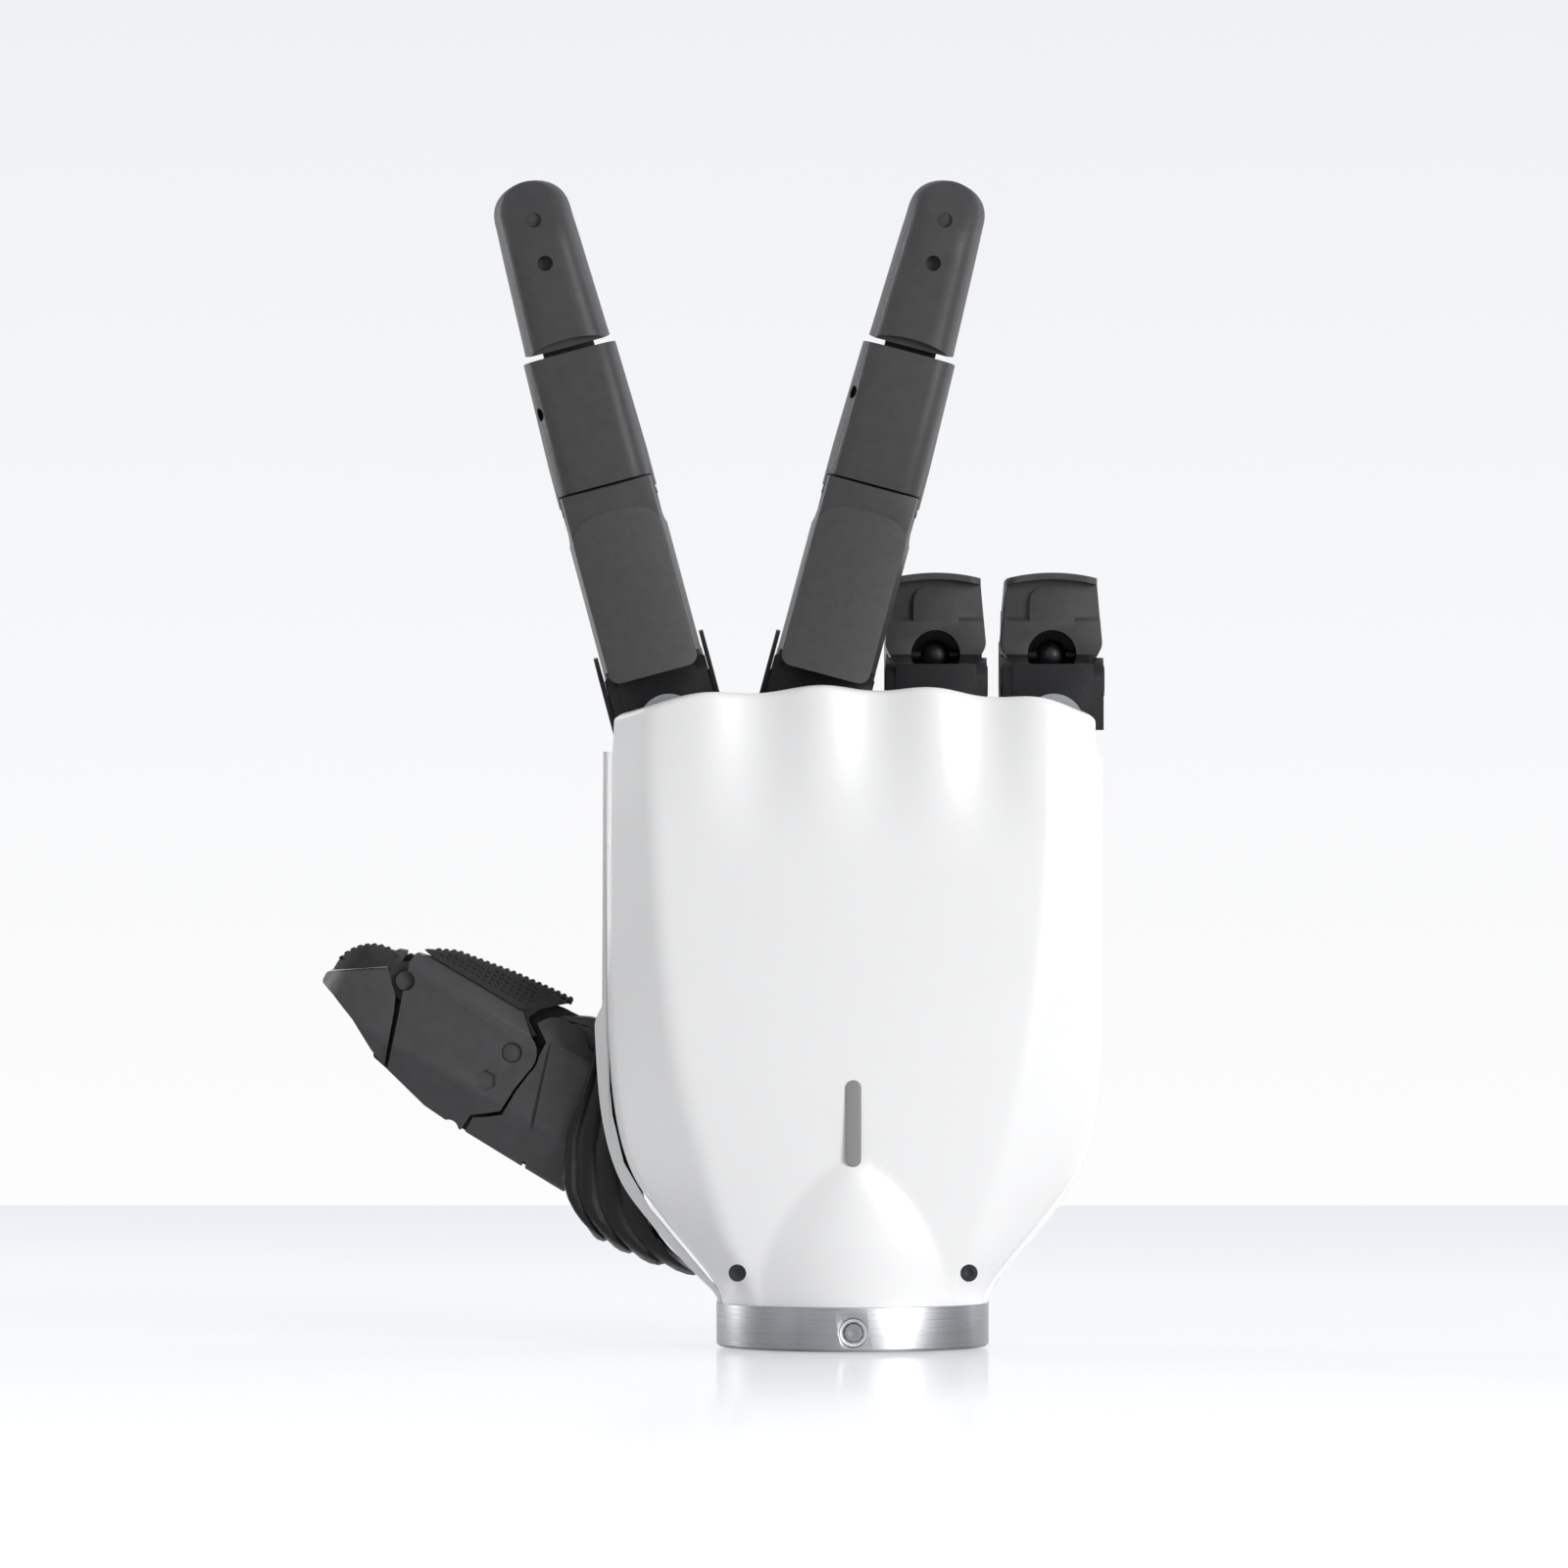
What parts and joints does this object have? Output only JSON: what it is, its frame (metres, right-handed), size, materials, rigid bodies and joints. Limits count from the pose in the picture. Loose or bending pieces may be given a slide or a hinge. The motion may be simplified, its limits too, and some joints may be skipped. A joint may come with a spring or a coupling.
{
  "type": "dexterous robot hand",
  "caption": "Right-hand dexterous robot hand: white moulded palm on a round wrist flange, jointed charcoal fingers with coupled outer joints, and a swinging thumb with a ribbed boot",
  "frame": {"origin": "centre of the wrist flange's mounting face", "axes": "+Z from the flange along the straight fingers, +X towards the little finger, -Y out of the back of the hand"},
  "size_m": [0.1438, 0.0763, 0.2135],
  "materials": {
    "white_shell": "satin white moulded plastic",
    "charcoal_shell": "fine matte charcoal plastic",
    "cover_plate": "matte grey plate",
    "black_frame": "black glass-filled nylon",
    "rubber": "matte black rubber",
    "grip_pad": "grey-black grip rubber",
    "wrist_metal": "turned and brushed aluminium",
    "frame_metal": "milled aluminium",
    "pin_steel": "ground steel",
    "light_lens": "grey light bar, switched off",
    "board": "green circuit board"
  },
  "bodies": {
    "palm": {"wrist_flange": "wrist_metal", "dorsal_shell": "white_shell", "palm_shell": "white_shell", "palm_pad": "grip_pad", "chassis": "frame_metal", "screws": "pin_steel", "status_light": "light_lens", "controller_board": "board", "actuators": "pin_steel", "pivot_pins": "pin_steel"},
    "index_root": {"index_knuckle": "black_frame", "index_knuckle_pin": "pin_steel"},
    "index_first": {"index_proximal": "charcoal_shell", "index_cover": "cover_plate", "index_rod_end": "pin_steel", "index_medial_pin": "pin_steel"},
    "index_second": {"index_medial": "charcoal_shell", "index_distal_pin": "pin_steel"},
    "index_tip": {"index_distal": "charcoal_shell", "index_pad": "grip_pad"},
    "middle_root": {"middle_knuckle": "black_frame", "middle_knuckle_pin": "pin_steel"},
    "middle_first": {"middle_proximal": "charcoal_shell", "middle_cover": "cover_plate", "middle_rod_end": "pin_steel", "middle_medial_pin": "pin_steel"},
    "middle_second": {"middle_medial": "charcoal_shell", "middle_distal_pin": "pin_steel"},
    "middle_tip": {"middle_distal": "charcoal_shell", "middle_pad": "grip_pad"},
    "ring_root": {"ring_knuckle": "black_frame", "ring_knuckle_pin": "pin_steel"},
    "ring_first": {"ring_proximal": "charcoal_shell", "ring_cover": "cover_plate", "ring_rod_end": "pin_steel", "ring_medial_pin": "pin_steel"},
    "ring_second": {"ring_medial": "charcoal_shell", "ring_distal_pin": "pin_steel"},
    "ring_tip": {"ring_distal": "charcoal_shell", "ring_pad": "grip_pad"},
    "pinky_root": {"pinky_knuckle": "black_frame", "pinky_knuckle_pin": "pin_steel"},
    "pinky_first": {"pinky_proximal": "charcoal_shell", "pinky_cover": "cover_plate", "pinky_rod_end": "pin_steel", "pinky_medial_pin": "pin_steel"},
    "pinky_second": {"pinky_medial": "charcoal_shell", "pinky_distal_pin": "pin_steel"},
    "pinky_tip": {"pinky_distal": "charcoal_shell", "pinky_pad": "grip_pad"},
    "thumb_turret": {"thumb_swivel": "black_frame", "thumb_bend_pin": "pin_steel", "thumb_boot": "rubber"},
    "thumb_root": {"thumb_base": "charcoal_shell", "thumb_medial_pin": "pin_steel"},
    "thumb_middle": {"thumb_medial": "charcoal_shell", "thumb_medial_pad": "grip_pad", "thumb_distal_pin": "pin_steel"},
    "thumb_tip": {"thumb_distal": "charcoal_shell", "thumb_distal_pad": "grip_pad"}
  },
  "joints": [
    {"name": "index_spread", "type": "hinge", "parent": "palm", "child": "index_root", "pos_m": [-0.0336, 0, 0.114], "axis": [0, 1, 0], "range_deg": [0, 15]},
    {"name": "index_curl", "type": "hinge", "parent": "index_root", "child": "index_first", "pos_m": [-0.03567, 0, 0.12173], "axis": [-0.9659, 0, -0.2588], "range_deg": [0, 90]},
    {"name": "index_medial_curl", "type": "hinge", "parent": "index_first", "child": "index_second", "pos_m": [-0.04473, -0.007, 0.15553], "axis": [-0.9659, 0, -0.2588], "range_deg": [0, 80]},
    {"name": "index_distal_curl", "type": "hinge", "parent": "index_second", "child": "index_tip", "pos_m": [-0.05081, -0.006, 0.17823], "axis": [-0.9659, 0, -0.2588], "range_deg": [0, 30]},
    {"name": "middle_spread", "type": "hinge", "parent": "palm", "child": "middle_root", "pos_m": [-0.0079, 0, 0.114], "axis": [0, -1, 0], "range_deg": [0, 15]},
    {"name": "middle_curl", "type": "hinge", "parent": "middle_root", "child": "middle_first", "pos_m": [-0.00583, 0, 0.12173], "axis": [-0.9659, 0, 0.2588], "range_deg": [0, 90]},
    {"name": "middle_medial_curl", "type": "hinge", "parent": "middle_first", "child": "middle_second", "pos_m": [0.00323, -0.007, 0.15553], "axis": [-0.9659, 0, 0.2588], "range_deg": [0, 80]},
    {"name": "middle_distal_curl", "type": "hinge", "parent": "middle_second", "child": "middle_tip", "pos_m": [0.00931, -0.006, 0.17823], "axis": [-0.9659, 0, 0.2588], "range_deg": [0, 30]},
    {"name": "ring_spread", "type": "hinge", "parent": "palm", "child": "ring_root", "pos_m": [0.0153, 0, 0.114], "axis": [0, 1, 0], "range_deg": [0, 11.5]},
    {"name": "ring_curl", "type": "hinge", "parent": "ring_root", "child": "ring_first", "pos_m": [0.0153, 0, 0.122], "axis": [-1, 0, 0], "range_deg": [-90, 0]},
    {"name": "ring_medial_curl", "type": "hinge", "parent": "ring_first", "child": "ring_second", "pos_m": [0.0153, 0.035, 0.129], "axis": [-1, 0, 0], "range_deg": [-80, 0]},
    {"name": "ring_distal_curl", "type": "hinge", "parent": "ring_second", "child": "ring_tip", "pos_m": [0.0153, 0.0381, 0.10568], "axis": [-1, 0, 0], "range_deg": [-30, 0]},
    {"name": "pinky_spread", "type": "hinge", "parent": "palm", "child": "pinky_root", "pos_m": [0.0367, 0, 0.114], "axis": [0, 1, 0], "range_deg": [0, 13]},
    {"name": "pinky_curl", "type": "hinge", "parent": "pinky_root", "child": "pinky_first", "pos_m": [0.0367, 0, 0.122], "axis": [-1, 0, 0], "range_deg": [-90, 0]},
    {"name": "pinky_medial_curl", "type": "hinge", "parent": "pinky_first", "child": "pinky_second", "pos_m": [0.0367, 0.035, 0.129], "axis": [-1, 0, 0], "range_deg": [-80, 0]},
    {"name": "pinky_distal_curl", "type": "hinge", "parent": "pinky_second", "child": "pinky_tip", "pos_m": [0.0367, 0.0381, 0.10568], "axis": [-1, 0, 0], "range_deg": [-30, 0]},
    {"name": "thumb_swing", "type": "hinge", "parent": "palm", "child": "thumb_turret", "pos_m": [-0.024, 0.009, 0.04], "axis": [0, 0, 1], "range_deg": [-90, 0], "deforming": ["thumb_boot"]},
    {"name": "thumb_bend", "type": "hinge", "parent": "thumb_turret", "child": "thumb_root", "pos_m": [-0.036, 0.009, 0.04], "axis": [0, -1, 0], "range_deg": [-20, 0], "deforming": ["thumb_boot"]},
    {"name": "thumb_medial_bend", "type": "hinge", "parent": "thumb_root", "child": "thumb_middle", "pos_m": [-0.06259, 0.009, 0.05374], "axis": [0, -1, 0], "range_deg": [-10, 0]},
    {"name": "thumb_distal_bend", "type": "hinge", "parent": "thumb_middle", "child": "thumb_tip", "pos_m": [-0.08223, 0.009, 0.06692], "axis": [0, -1, 0], "range_deg": [-10, 0]}
  ],
  "couplings": [
    {"joint": "index_medial_curl", "follows": "index_curl", "ratio": 0.88889},
    {"joint": "index_distal_curl", "follows": "index_curl", "ratio": 0.33333},
    {"joint": "middle_spread", "follows": "middle_curl", "ratio": 0.16667},
    {"joint": "middle_medial_curl", "follows": "middle_curl", "ratio": 0.88889},
    {"joint": "middle_distal_curl", "follows": "middle_curl", "ratio": 0.33333},
    {"joint": "ring_spread", "follows": "ring_curl", "ratio": -0.12778},
    {"joint": "ring_medial_curl", "follows": "ring_curl", "ratio": 0.88889},
    {"joint": "ring_distal_curl", "follows": "ring_curl", "ratio": 0.33333},
    {"joint": "pinky_spread", "follows": "pinky_curl", "ratio": -0.14444},
    {"joint": "pinky_medial_curl", "follows": "pinky_curl", "ratio": 0.88889},
    {"joint": "pinky_distal_curl", "follows": "pinky_curl", "ratio": 0.33333},
    {"joint": "thumb_medial_bend", "follows": "thumb_bend", "ratio": 0.5},
    {"joint": "thumb_distal_bend", "follows": "thumb_bend", "ratio": 0.5}
  ]
}
